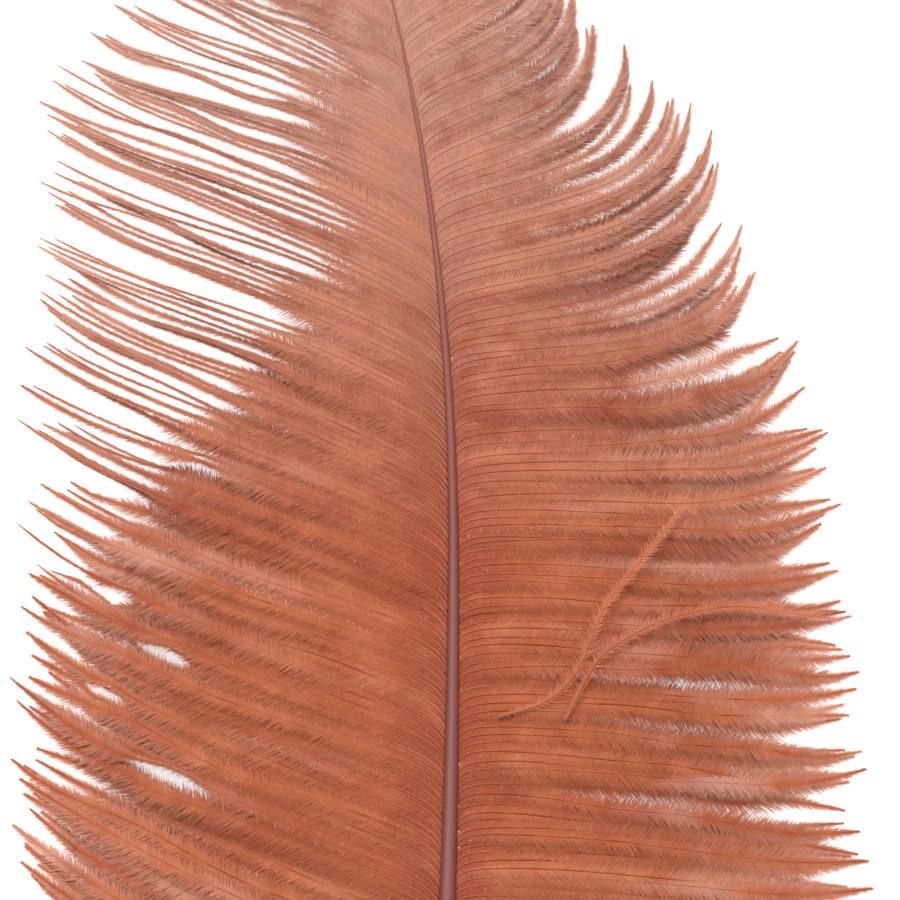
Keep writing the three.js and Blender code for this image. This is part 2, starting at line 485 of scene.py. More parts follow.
@dataclass
class Vane:
    """One vane: its barbs side by side along the rachis, drawn together into locks."""

    growth: Growth
    course: ShaftCourse
    style: BarbStyle
    parting: Parting
    seed: int
    first: float = 39.0
    last: float = 347.0
    pitch: float = 1.28
    pitch_jitter: float = 0.18
    root_inset: float = 0.72
    lock_sizes: tuple[int, int] = (1, 4)
    parted_sizes: tuple[int, int] = (1, 4)
    parted_stations: tuple[float, float] = (203.0, 325.0)
    lock_shift: float = 3.0
    barb_shift: float = 4.0
    shortest_lock: float = 0.94
    longest_lock: float = 1.02
    lock_lie: float = 0.45
    barb_lie: float = 0.5
    lock_lift: float = 1.7
    barb_lift: float = 1.8
    length_scatter: float = 0.08
    step_back: float = 0.03
    gather: float = 0.72
    gather_from: float = 0.84
    gather_to: float = 1.05
    strand_from: float = 0.3
    parted_gather: float = 0.45
    tip_from: float = 0.84
    tip_to: float = 0.94
    tip_fluff: float = 1.45
    tip_splay: float = 33.0
    loose: float = 0.0
    loose_stations: tuple[float, float] = (212.0, 248.0)
    loose_share: tuple[float, float] = (0.2, 0.6)
    outer_share: tuple[float, float] = (0.25, 0.7)
    tone_spread: float = 0.5
    splits: tuple[Split, ...] = ()
    sway: float = 1.1
    parted_sway: float = -0.4
    ridge: float = 0.22
    free_share: tuple[float, float] = (0.08, 0.85)
    barb_amount: float = 0.7
    wave_turns: tuple[float, float] = (0.8, 2.8)
    wave_size: float = 0.5
    hump_power: float = 0.8
    parted_flat: float = 0.3
    fluff_range: tuple[float, float] = (0.85, 1.12)
    splay_lead: float = 0.15
    splay_to: float = 0.95

    def build(self) -> Barbs:
        """Grow the vane.

        Returns:
            The barbs, in order from the quill to the crown.
        """
        rng = np.random.default_rng(self.seed)
        style = self.style
        count = int((self.last - self.first) / self.pitch)
        jitter = rng.uniform(-self.pitch_jitter, self.pitch_jitter, count)
        station = self.first + self.pitch * (np.arange(count) + jitter)
        growth = self.growth
        lock = self._locks(station, rng)
        locks = lock.max() + 1
        lock_lie = rng.normal(0.0, self.lock_lie, locks)[lock]
        lock_length = rng.uniform(self.shortest_lock, self.longest_lock, locks)[lock]
        leader, apart = self._leaders(lock, rng)
        shortfall = self.step_back * apart + self.length_scatter * rng.random(count)
        length = growth.along(growth.length, station) * lock_length * (1.0 - shortfall * (apart > 0))
        lie = growth.along(growth.lie, station) + lock_lie + rng.normal(0.0, self.barb_lie, count)
        lift = growth.along(growth.lift, station)
        lift = lift + rng.normal(0.0, self.lock_lift, locks)[lock] + rng.normal(0.0, self.barb_lift, count)
        points, run, share = self._paths(station, length, lie, lift)
        shift = rng.normal(0.0, self.lock_shift, locks)[lock][:, None]
        shift = shift + rng.normal(0.0, self.barb_shift, count)[:, None]
        if growth.side is Side.LEFT:
            parted = self.parting.openness(points, shift)
        else:
            loose = self.loose * smooth(station, *self.loose_stations)[:, None]
            parted = loose * smooth(share, *self.loose_share)
        for split in self.splits:
            parted = np.maximum(parted, split.openness(points))
        points = self._gather(points, leader, share, parted)
        for split in self.splits:
            points = split.part(points)
        points = self._ruffle(points, lock, share, parted, rng)
        fluff, splay = self._fringe(run, share, parted, rng)
        girth = np.minimum(style.girth(share), style.root_limit * self.course.radius(station)[:, None])
        breadth = 1.0 + style.root_breadth * (1.0 - smooth(run, 0.0, style.root_breadth_reach))
        breadth = breadth + style.outer_breadth * smooth(share, *self.outer_share) * (1.0 - parted)
        tone = rng.normal(0.0, self.tone_spread, locks)[lock][:, None]
        tone = tone + rng.normal(0.0, self.tone_spread, count)[:, None]
        tones = np.broadcast_to(tone, share.shape).copy()
        return Barbs(points, girth, fluff, breadth, splay, tones, share)

    def _locks(self, station: np.ndarray, rng: np.random.Generator) -> np.ndarray:
        """Number the lock that each barb belongs to.

        Args:
            station: The barbs' stations, rising.
            rng: The source of chance.

        Returns:
            The lock's number for each barb, from 0.
        """
        number = np.zeros(len(station), dtype=int)
        start = current = 0
        first, last = self.parted_stations
        while start < len(station):
            thin = self.growth.side is Side.LEFT and first < station[start] < last
            low, high = self.parted_sizes if thin else self.lock_sizes
            size = int(rng.integers(low, high + 1))
            number[start : start + size] = current
            start += size
            current += 1
        return number

    def _leaders(self, lock: np.ndarray, rng: np.random.Generator) -> tuple[np.ndarray, np.ndarray]:
        """Pick the barb that leads each lock, the longest, towards which the others lean.

        Args:
            lock: The lock's number for each barb.
            rng: The source of chance.

        Returns:
            The row of each barb's leader, and how many barbs away it is.
        """
        sizes = np.bincount(lock)
        starts = np.concatenate([[0], np.cumsum(sizes)[:-1]])
        chosen = starts + np.floor(rng.random(len(sizes)) * sizes).astype(int)
        leader = chosen[lock]
        return leader, np.abs(np.arange(len(lock)) - leader)

    def _paths(
        self, station: np.ndarray, length: np.ndarray, lie: np.ndarray, lift: np.ndarray
    ) -> tuple[np.ndarray, np.ndarray, np.ndarray]:
        """Lay out each barb's middle line before it is drawn into its lock.

        Args:
            station: Where each barb leaves the rachis.
            length: Each barb's length.
            lie: Each barb's angle once clear of the rachis, in degrees.
            lift: Each barb's further turn by its tip, in degrees.

        Returns:
            The points, the run from the root to each point, and that run's share of the length.
        """
        style = self.style
        side = self.growth.side.value
        fine = np.linspace(0.0, 1.0, style.substeps + 1)[None, :]
        bend = np.exp(-fine * length[:, None] / self.growth.root_bend)
        degrees = lie[:, None] + (self.growth.root_angle - lie[:, None]) * bend
        angle = np.radians(degrees + lift[:, None] * fine**self.growth.lift_power)
        step = (length / style.substeps)[:, None]
        zero = np.zeros((len(station), 1))
        outward = np.concatenate([zero, np.cumsum(np.cos(angle[:, :-1]) * step, axis=1)], axis=1)
        forward = np.concatenate([zero, np.cumsum(np.sin(angle[:, :-1]) * step, axis=1)], axis=1)
        coarse = np.linspace(0.0, 1.0, style.points) ** style.root_crowding
        place = coarse * style.substeps
        low = np.minimum(place.astype(int), style.substeps - 1)
        part = place - low
        outward = outward[:, low] * (1 - part) + outward[:, low + 1] * part
        forward = forward[:, low] * (1 - part) + forward[:, low + 1] * part
        root = self.course.axis(station)
        tangent = self.course.tangent(station)
        heading = np.arctan2(tangent[:, 0], tangent[:, 1])[:, None]
        across = side * (outward + self.root_inset * self.course.radius(station)[:, None])
        x = root[:, None, 0] + across * np.cos(heading) + forward * np.sin(heading)
        y = root[:, None, 1] - across * np.sin(heading) + forward * np.cos(heading)
        drop = np.minimum(style.root_drop, self.course.radius(station))
        z = style.height((root[:, 2] - drop)[:, None], coarse)
        share = np.broadcast_to(coarse, x.shape).copy()
        return np.stack([x, y, z], axis=-1), share * length[:, None], share

    def _gather(
        self, points: np.ndarray, leader: np.ndarray, share: np.ndarray, parted: np.ndarray
    ) -> np.ndarray:
        """Draw the barbs of each lock towards their leader, more and more to their tips.

        Args:
            points: The barbs' middle lines.
            leader: The row of each barb's leader.
            share: The run's share of the barb's length.
            parted: How parted the vane is at each point.

        Returns:
            The barbs' middle lines, drawn together.
        """
        pull = self.gather * smooth(share, self.gather_from, self.gather_to)
        strands = self.parted_gather * smooth(share, self.strand_from, 1.0) * parted
        strength = np.maximum(pull * (1.0 - parted), strands)
        return points + (points[leader] - points) * strength[..., None]

    def _ruffle(
        self,
        points: np.ndarray,
        lock: np.ndarray,
        share: np.ndarray,
        parted: np.ndarray,
        rng: np.random.Generator,
    ) -> np.ndarray:
        """Let locks and barbs sway and stand a little proud of each other.

        Args:
            points: The barbs' middle lines.
            lock: Each barb's lock.
            share: The run's share of the barb's length.
            parted: How parted the vane is at each point.
            rng: The source of chance.

        Returns:
            The ruffled middle lines.
        """
        locks = lock.max() + 1
        free = smooth(share, *self.free_share)
        ruffled = points.copy()
        for number, amount in ((locks, 1.0), (len(lock), self.barb_amount)):
            which = lock if number == locks else np.arange(len(lock))
            phase = rng.uniform(0.0, 2 * np.pi, number)[which][:, None]
            turns = rng.uniform(*self.wave_turns, number)[which][:, None]
            size = rng.normal(0.0, 1.0, number)[which][:, None]
            wave = np.sin(2 * np.pi * turns * share + phase) - np.sin(phase)
            swing = amount * (self.sway + self.parted_sway * parted) * self.wave_size
            ruffled[..., 1] += swing * size * wave * free
            proud = rng.normal(0.0, 1.0, number)[which][:, None]
            hump = np.sin(np.pi * np.clip(share, 0.0, 1.0) ** self.hump_power)
            ruffled[..., 2] += amount * self.ridge * proud * hump * (1.0 - self.parted_flat * parted)
        return ruffled

    def _fringe(
        self, run: np.ndarray, share: np.ndarray, parted: np.ndarray, rng: np.random.Generator
    ) -> tuple[np.ndarray, np.ndarray]:
        """Size the barbules along each barb.

        Args:
            run: The run from the root to each point.
            share: The run's share of the barb's length.
            parted: How parted the vane is at each point.
            rng: The source of chance.

        Returns:
            The barbules' length, and their angle to the barb in degrees.
        """
        style = self.style
        grown = smooth(run, 0.0, style.fluff_reach)
        fluff = style.root_fluff + (style.fluff - style.root_fluff) * grown
        fluff = fluff + (self.tip_fluff - fluff) * smooth(share, self.tip_from, self.tip_to)
        ending = smooth(share, style.parted_end, 1.0)
        thin = style.parted_fluff + (style.tip_fluff - style.parted_fluff) * ending
        thin = thin * rng.uniform(1.0 - style.parted_scatter, 1.0 + style.parted_scatter, (len(run), 1))
        fluff = fluff * rng.uniform(*self.fluff_range, (len(run), 1))
        fluff = fluff + (thin - fluff) * parted
        fluff[:, -1] *= style.end_fluff
        splay = style.root_splay + (style.splay - style.root_splay) * grown
        closing = smooth(share, self.tip_from - self.splay_lead, self.splay_to)
        splay = splay + (self.tip_splay - splay) * closing
        splay = splay + (style.parted_splay - splay) * parted
        return fluff, splay


@dataclass(frozen=True)
class Fringe:
    """Turns bare barb lines into rami fringed with barbules, by geometry nodes."""

    spacing: float = 0.07
    width: float = 0.15
    jitter: float = 0.13
    roll: float = 0.25
    rise: float = 0.08
    droop: float = -0.1
    floor: float = 0.12
    rows: int = 96
    ramus_lane: float = 0.05
    blade_lane: float = 0.4
    blade_rows: float = 0.55
    reach: tuple[float, float] = (0.5, 1.2)
    map_start: float = 0.006
    map_span: float = 0.985
    map_edge: float = 0.005

    def tree(self) -> bpy.types.NodeTree:
        """Build the node tree.

        Returns:
            A tree that takes barb lines as edges and gives the finished mesh.
        """
        tree = bpy.data.node_groups.new("Barb fringe", "GeometryNodeTree")
        floats = (
            "Barbule Spacing", "Barbule Width", "Jitter", "Roll", "Rise", "Droop", "Floor", "Rows"
        )
        sockets = [("Geometry", "INPUT", "NodeSocketGeometry")]
        sockets += [(name, "INPUT", "NodeSocketFloat") for name in floats]
        sockets += [
            ("Seed", "INPUT", "NodeSocketInt"),
            ("Finish", "INPUT", "NodeSocketMaterial"),
            ("Geometry", "OUTPUT", "NodeSocketGeometry"),
        ]
        for name, direction, kind in sockets:
            tree.interface.new_socket(name=name, in_out=direction, socket_type=kind)
        make = NodeMaker(tree)
        given = make.add("NodeGroupInput").outputs
        lines = make.add("GeometryNodeMeshToCurve", {0: given["Geometry"]}).outputs[0]
        rami = self._rami(make, lines)
        points = make.add(
            "GeometryNodeResampleCurve", {0: lines, "Length": given["Barbule Spacing"]}, mode="LENGTH"
        ).outputs[0]
        blade = self._blade(make)
        halves = [
            self._side(make, given, points, blade, turn, number)
            for number, turn in enumerate((1.0, -1.0))
        ]
        joined = make.add("GeometryNodeJoinGeometry")
        for part in (*halves, rami):
            tree.links.new(part, joined.inputs[0])
        whole = make.add("GeometryNodeRealizeInstances", {0: joined.outputs[0]}).outputs[0]
        whole = self._keep_off_floor(make, given, whole)
        whole = self._bake_map(make, given, whole)
        done = make.add("GeometryNodeSetMaterial", {0: whole, "Material": given["Finish"]}).outputs[0]
        make.add("NodeGroupOutput", {0: done})
        return tree

    def _read(self, make: NodeMaker, name: str) -> bpy.types.NodeSocket:
        """Read a number stored on the geometry."""
        return make.add("GeometryNodeInputNamedAttribute", {0: name}, data_type="FLOAT").outputs[0]

    def _store(
        self, make: NodeMaker, geometry: bpy.types.NodeSocket, name: str, value: Any
    ) -> bpy.types.NodeSocket:
        """Store a number on the geometry's points, and return the geometry.

        Args:
            make: The tree's node maker.
            geometry: What the number is stored on.
            name: The attribute's name.
            value: The number or its socket.

        Returns:
            The geometry with the number.
        """
        node = make.add(
            "GeometryNodeStoreNamedAttribute", {0: geometry, "Name": name}, data_type="FLOAT", domain="POINT"
        )
        if isinstance(value, bpy.types.NodeSocket):
            make.tree.links.new(value, node.inputs["Value"])
        else:
            node.inputs["Value"].default_value = value
        return node.outputs[0]

    def _rami(self, make: NodeMaker, lines: bpy.types.NodeSocket) -> bpy.types.NodeSocket:
        """Sweep a three-sided ramus along each line.

        Args:
            make: The tree's node maker.
            lines: The barb lines as curves.

        Returns:
            The rami's mesh.
        """
        profile = make.add("GeometryNodeCurvePrimitiveCircle", {"Resolution": 3, "Radius": 1.0})
        index = make.add("GeometryNodeInputIndex").outputs[0]
        lane = make.math("ADD", make.math("MULTIPLY", index, 0.1), self.ramus_lane)
        ring = self._store(make, profile.outputs[0], "lane", lane)
        girth = self._read(make, "girth")
        return make.add(
            "GeometryNodeCurveToMesh", {0: lines, 1: ring, "Scale": girth, "Fill Caps": True}
        ).outputs[0]

    def _blade(self, make: NodeMaker) -> bpy.types.NodeSocket:
        """Make one barbule: a slim blade, one long, that narrows to a point.

        Args:
            make: The tree's node maker.

        Returns:
            The blade's mesh.
        """
        corners = ((-0.5, 0, 0), (0.5, 0, 0), (0, 1, 0))
        disc = make.add("GeometryNodeMeshCircle", {"Vertices": len(corners)}, fill_type="NGON")
        index = make.add("GeometryNodeInputIndex").outputs[0]
        pick = make.add("GeometryNodeIndexSwitch", data_type="VECTOR")
        while len(pick.index_switch_items) < len(corners):
            pick.index_switch_items.new()
        make.tree.links.new(index, pick.inputs[0])
        for k, corner in enumerate(corners):
            pick.inputs[k + 1].default_value = corner
        shaped = make.add("GeometryNodeSetPosition", {0: disc.outputs[0], "Position": pick.outputs[0]})
        place = make.split(make.add("GeometryNodeInputPosition").outputs[0])
        lane = make.math("ADD", make.math("MULTIPLY", place[1], self.blade_rows), self.blade_lane)
        laned = self._store(make, shaped.outputs[0], "lane", lane)
        return self._store(make, laned, "edge", place[0])

    def _chance(
        self, make: NodeMaker, given: Any, low: Any, high: Any, stream: int
    ) -> bpy.types.NodeSocket:
        """Draw a number between low and high for each point.

        Args:
            make: The tree's node maker.
            given: The group's input sockets.
            low: Least value or its socket.
            high: Greatest value or its socket.
            stream: Keeps this draw apart from the others.

        Returns:
            The drawn number's socket.
        """
        seed = make.math("ADD", given["Seed"], float(stream))
        return make.add(
            "FunctionNodeRandomValue", {2: low, 3: high, "Seed": seed}, data_type="FLOAT"
        ).outputs[1]

    def _side(
        self,
        make: NodeMaker,
        given: Any,
        points: bpy.types.NodeSocket,
        blade: bpy.types.NodeSocket,
        turn: float,
        number: int,
    ) -> bpy.types.NodeSocket:
        """Stand the barbules along one side of every barb.

        Args:
            make: The tree's node maker.
            given: The group's input sockets.
            points: Barb points a barbule apart.
            blade: The barbule.
            turn: 1 for the barb's left side and -1 for its right.
            number: The side's number, which keeps its draws apart.

        Returns:
            The barbules as instances.
        """
        stream = 10 * number
        tangent = make.add("GeometryNodeInputTangent").outputs[0]
        along = make.add("FunctionNodeAlignRotationToVector", {"Vector": tangent}, axis="X")
        upright = make.add(
            "FunctionNodeAlignRotationToVector",
            {"Rotation": along.outputs[0], "Vector": (0.0, 0.0, 1.0)},
            axis="Z",
            pivot_axis="X",
        ).outputs[0]
        jitter = make.math("MULTIPLY", self._chance(make, given, -1.0, 1.0, stream + 1), given["Jitter"])
        splay = make.math("ADD", make.math("RADIANS", self._read(make, "splay")), jitter)
        quarter = math.pi / 2
        if turn > 0:
            yaw = make.math("SUBTRACT", splay, quarter)
        else:
            yaw = make.math("SUBTRACT", make.math("MULTIPLY", splay, -1.0), quarter)
        rise = make.math(
            "ADD",
            make.math("MULTIPLY", self._chance(make, given, -1.0, 1.0, stream + 2), given["Rise"]),
            given["Droop"],
        )
        roll = make.math("MULTIPLY", self._chance(make, given, -1.0, 1.0, stream + 3), given["Roll"])
        local = make.add("FunctionNodeEulerToRotation", {0: make.vector(rise, roll, yaw)}).outputs[0]
        turned = make.add(
            "FunctionNodeRotateRotation", {0: upright, 1: local}, rotation_space="LOCAL"
        ).outputs[0]
        reach = make.math(
            "MULTIPLY", self._read(make, "fluff"), self._chance(make, given, *self.reach, stream + 4)
        )
        width = make.math("MULTIPLY", given["Barbule Width"], self._read(make, "breadth"))
        size = make.vector(width, reach, reach)
        return make.add(
            "GeometryNodeInstanceOnPoints",
            {0: points, "Instance": blade, "Rotation": turned, "Scale": size},
        ).outputs[0]

    def _keep_off_floor(
        self, make: NodeMaker, given: Any, geometry: bpy.types.NodeSocket
    ) -> bpy.types.NodeSocket:
        """Lift every point to the least height that the barbs may have.

        Args:
            make: The tree's node maker.
            given: The group's input sockets.
            geometry: The realized mesh.

        Returns:
            The mesh, clear of the floor.
        """
        place = make.split(make.add("GeometryNodeInputPosition").outputs[0])
        height = make.math("MAXIMUM", place[2], given["Floor"])
        lifted = make.vector(place[0], place[1], height)
        return make.add("GeometryNodeSetPosition", {0: geometry, "Position": lifted}).outputs[0]

    def _bake_map(
        self, make: NodeMaker, given: Any, geometry: bpy.types.NodeSocket
    ) -> bpy.types.NodeSocket:
        """Lay out the UV map: U along the barb, and a row in V for each barb.

        Args:
            make: The tree's node maker.
            given: The group's input sockets.
            geometry: The realized mesh.

        Returns:
            The mesh with its map.
        """
        across = make.math("MULTIPLY", self._read(make, "edge"), self.map_edge)
        u = make.math("ADD", make.math("MULTIPLY", self._read(make, "share"), self.map_span), self.map_start)
        v = make.math("ADD", self._read(make, "row"), self._read(make, "lane"))
        v = make.math("DIVIDE", v, given["Rows"])
        uv = make.vector(make.math("ADD", u, across), v)
        node = make.add(
            "GeometryNodeStoreNamedAttribute",
            {0: geometry, "Name": BAKE_MAP},
            data_type="FLOAT2",
            domain="CORNER",
        )
        make.tree.links.new(uv, node.inputs["Value"])
        return node.outputs[0]

    def dress(
        self,
        name: str,
        barbs: Barbs,
        tree: bpy.types.NodeTree,
        finish: bpy.types.Material,
        origin: np.ndarray,
        seed: int,
    ) -> bpy.types.Object:
        """Make one piece from a bundle of barbs.

        Args:
            name: The piece's name.
            barbs: The barbs, at most one for each row of the map.
            tree: The tree that tree() built.
            finish: The barbs' material.
            origin: The quill's end in the row frame, in millimetres.
            seed: The piece's seed.

        Returns:
            The finished piece, a plain mesh.
        """
        count, points = barbs.share.shape
        if count > self.rows:
            raise ValueError(f"{name} has {count} barbs and only {self.rows} rows")
        mesh = bpy.data.meshes.new(name)
        index = np.arange(count * points).reshape(count, points)
        edges = np.stack([index[:, :-1], index[:, 1:]], axis=-1).reshape(-1, 2)
        places = (barbs.points + origin).reshape(-1, 3) * METRE
        mesh.from_pydata(places.tolist(), edges.tolist(), [])
        row = np.broadcast_to(np.arange(count)[:, None], (count, points))
        told = {
            "girth": barbs.girth * METRE,
            "fluff": barbs.fluff * METRE,
            "breadth": barbs.breadth,
            "splay": barbs.splay,
            "tone": barbs.tone,
            "share": barbs.share,
            "row": row,
            "strand": row + seed,
        }
        for key, values in told.items():
            layer = mesh.attributes.new(key, "FLOAT", "POINT")
            layer.data.foreach_set("value", np.ascontiguousarray(values, dtype=np.float32).ravel())
        lines = put(name + "_lines", mesh)
        modifier = lines.modifiers.new("Fringe", "NODES")
        modifier.node_group = tree
        values = {
            "Barbule Spacing": self.spacing * METRE,
            "Barbule Width": self.width * METRE,
            "Jitter": self.jitter,
            "Roll": self.roll,
            "Rise": self.rise,
            "Droop": self.droop,
            "Floor": self.floor * METRE,
            "Rows": float(self.rows),
            "Seed": seed,
            "Finish": finish,
        }
        for item in tree.interface.items_tree:
            if item.item_type == "SOCKET" and item.in_out == "INPUT" and item.name in values:
                modifier[item.identifier] = values[item.name]
        return plain_piece(lines, name)


def plain_piece(source: bpy.types.Object, name: str) -> bpy.types.Object:
    """Turn an object with live modifiers into a plain mesh piece, and remove the source.

    Args:
        source: The object to evaluate.
        name: The piece's name.

    Returns:
        The new object, with no modifiers.
    """
    graph = bpy.context.evaluated_depsgraph_get()
    graph.update()
    mesh = bpy.data.meshes.new_from_object(
        source.evaluated_get(graph), preserve_all_data_layers=True, depsgraph=graph
    )
    mesh.name = name
    old = source.data
    bpy.data.objects.remove(source)
    bpy.data.meshes.remove(old)
    return put(name, mesh)


@dataclass(frozen=True)
class BarbFinish:
    """Soft dyed keratin: rust rami, and paler barbules that let some light through. Light and shade are
    painted in as well: dark barbule roots for the shade between the rami, dark and light rami patches partly
    for shadow lines and lit tops, and pale drifts and barbule ends partly for the floor's light seen through
    thin fringe.
    """

    name: str = "Dyed barbs"
    # Rami take this dark rust or the lighter colour below, in patches: partly their own tone, partly painted
    # shade lines beside the rami and painted lit tops.
    ramus: tuple[float, float, float, float] = linear(134, 62, 38)
    ramus_pale_and_lit: tuple[float, float, float, float] = linear(174, 96, 64)
    ramus_root: tuple[float, float, float, float] = linear(157, 85, 56)
    blade: tuple[float, float, float, float] = linear(162, 88, 56)
    # Painted shade: the barbules near the shaft are darkened to stand for the shade in the gaps between the
    # rami.
    blade_root: tuple[float, float, float, float] = linear(144, 66, 41)
    shade: tuple[float, float, float, float] = linear(136, 62, 37)
    bright: tuple[float, float, float, float] = linear(187, 118, 88)
    faded: tuple[float, float, float, float] = linear(181, 148, 132)
    # Partly the thin barbules' own paler colour, partly painted backlight: the floor's light seen through
    # thin fringe.
    pale_and_backlit_veil: tuple[float, float, float, float] = linear(208, 166, 148)
    glow: tuple[float, float, float, float] = linear(172, 100, 72)
    roughness: float = 0.8
    sheen: float = 0.05
    sheen_roughness: float = 0.5
    gloss: float = 0.25
    through: float = 0.35
    glow_share: float = 0.6
    ramus_lanes: float = 0.38
    root_shade_rise: tuple[float, float] = (0.03, 0.16)
    ramus_rise: tuple[float, float] = (0.06, 0.24)
    patch_scale: float = 160.0
    patch_weight: float = 2.4
    patch_tone: float = 0.4
    pale_and_lit_ramus_from: tuple[float, float] = (0.92, 1.4)
    fade_heights: tuple[float, float] = (0.008, 0.1)
    fade_most: float = 0.6
    cloud_scale: float = 38.0
    cloud_middle: float = 0.44
    cloud_weight: float = 0.65
    tone_weight: float = 0.17
    streak_flow: tuple[float, float] = (13.0, 0.5)
    streak_weight: float = 1.1
    shade_gain: float = 1.6
    bright_gain: float = 1.4
    # The drifts are painted backlight: pale streaks along the barbs where the floor's light would show
    # through.
    drift_flow: tuple[float, float] = (2.6, 0.9)
    drift_from: tuple[float, float] = (0.53, 0.68)
    drift_most: float = 0.38
    drift_rise: tuple[float, float] = (0.2, 0.6)
    veil_lanes: tuple[float, float] = (0.5, 0.95)
    veil_rise: tuple[float, float] = (0.5, 0.92)
    veil_amount: tuple[float, float] = (0.04, 0.7)

    def material(self) -> bpy.types.Material:
        """Build the barbs' material.

        Returns:
            The material.
        """
        material, make = blank_material(self.name)
        lane, tone, share, strand = (make.told(name) for name in ("lane", "tone", "share", "strand"))
        place = make.add("ShaderNodeTexCoord").outputs["Object"]
        base = self._base(make, place, lane, tone, share)
        dye = self._dye(make, place, tone, share, strand)
        spread = make.add("ShaderNodeClamp", {0: make.math("MULTIPLY", dye, self.shade_gain)}).outputs[0]
        colour = make.mix(spread, base, self.shade)
        lit = make.add("ShaderNodeClamp", {0: make.math("MULTIPLY", dye, -self.bright_gain)}).outputs[0]
        colour = make.mix(lit, colour, self.bright)
        colour = self._pale_and_backlit(make, colour, lane, share, strand)
        skin = make.add(
            "ShaderNodeBsdfPrincipled",
            {
                "Base Color": colour,
                "Roughness": self.roughness,
                "Sheen Weight": self.sheen,
                "Sheen Roughness": self.sheen_roughness,
                "Sheen Tint": self.faded,
                "Specular IOR Level": self.gloss,
            },
        ).outputs[0]
        glow = make.mix(self.glow_share, colour, self.glow)
        light = make.add("ShaderNodeBsdfTranslucent", {"Color": glow}).outputs[0]
        both = make.add("ShaderNodeMixShader", {0: self.through, 1: skin, 2: light}).outputs[0]
        make.add("ShaderNodeOutputMaterial", {"Surface": both})
        return material

    def _base(self, make: NodeMaker, place: Any, lane: Any, tone: Any, share: Any) -> Any:
        """Colour rami and barbules, faded towards the crown, with painted shade at the barbules' roots and,
        in part, painted shadow lines and lit tops on the rami.

        Args:
            make: The tree's node maker.
            place: Object coordinates.
            lane: Which part of a barb this is.
            tone: The barb's own tone.
            share: The share of the barb's length.

        Returns:
            The colour's socket.
        """
        # Painted shade: barbules start dark by the shaft and take their own colour further out.
        blade = make.mix(make.ramp(share, *self.root_shade_rise), self.blade_root, self.blade)
        patches = make.math("MULTIPLY", make.noise(place, self.patch_scale, 2.0), self.patch_weight)
        pale = make.math("ADD", patches, make.math("MULTIPLY", tone, self.patch_tone))
        # Painted light, in part: the dark patches paint shadow lines beside the rami, and the light patches
        # paint their lit tops.
        rib = make.mix(make.ramp(pale, *self.pale_and_lit_ramus_from), self.ramus, self.ramus_pale_and_lit)
        rib = make.mix(make.ramp(share, *self.ramus_rise), self.ramus_root, rib)
        base = make.mix(make.math("LESS_THAN", lane, self.ramus_lanes), blade, rib)
        fade = make.ramp(make.split(place)[1], *self.fade_heights, top=self.fade_most)
        return make.mix(fade, base, self.faded)

    def _dye(self, make: NodeMaker, place: Any, tone: Any, share: Any, strand: Any) -> Any:
        """Give how much darker than its base colour the dye took: clouds, barbs and streaks.

        Args:
            make: The tree's node maker.
            place: Object coordinates.
            tone: The barb's own tone.
            share: The share of the barb's length.
            strand: The barb's number.

        Returns:
            The dye's socket, around 0.
        """
        clouds = make.math("SUBTRACT", make.noise(place, self.cloud_scale, 3.0), self.cloud_middle)
        clouds = make.math("MULTIPLY", clouds, self.cloud_weight)
        streaks = make.noise(self._flow(make, share, strand, self.streak_flow), 1.0, 3.0)
        dye = make.math("MULTIPLY_ADD", tone, self.tone_weight, clouds)
        return make.math("MULTIPLY_ADD", make.math("SUBTRACT", streaks, 0.5), self.streak_weight, dye)

    def _pale_and_backlit(self, make: NodeMaker, colour: Any, lane: Any, share: Any, strand: Any) -> Any:
        """Pale the barbs in drifts, painted backlight where the floor's light shows through thin fringe, and
        the barbules' ends towards the barbs' tips, partly their own paler colour and partly that painted
        backlight.

        Args:
            make: The tree's node maker.
            colour: The dyed colour.
            lane: Which part of a barb this is.
            share: The share of the barb's length.
            strand: The barb's number.

        Returns:
            The colour's socket.
        """
        # Painted backlight: pale drifts along the barbs where the floor's light would show through.
        drift = make.noise(self._flow(make, share, strand, self.drift_flow, 7.0), 1.0, 2.0)
        drift = make.ramp(drift, *self.drift_from, top=self.drift_most)
        drift = make.math("MULTIPLY", drift, make.ramp(share, *self.drift_rise))
        colour = make.mix(drift, colour, self.pale_and_backlit_veil)
        thin = make.ramp(lane, *self.veil_lanes)
        outer = make.ramp(share, *self.veil_rise, *self.veil_amount)
        return make.mix(make.math("MULTIPLY", thin, outer), colour, self.pale_and_backlit_veil)

    def _flow(
        self, make: NodeMaker, share: Any, strand: Any, scale: tuple[float, float], layer: float = 0.0
    ) -> Any:
        """Give a noise coordinate that runs along the barb in X and from barb to barb in Y."""
        return make.vector(
            make.math("MULTIPLY", share, scale[0]), make.math("MULTIPLY", strand, scale[1]), layer
        )


STRAY_FINISH = BarbFinish(
    name="Dyed stray barbs",
    ramus=linear(160, 86, 56),
    ramus_pale_and_lit=linear(168, 93, 61),
    blade=linear(178, 104, 74),
    bright=linear(188, 114, 82),
)


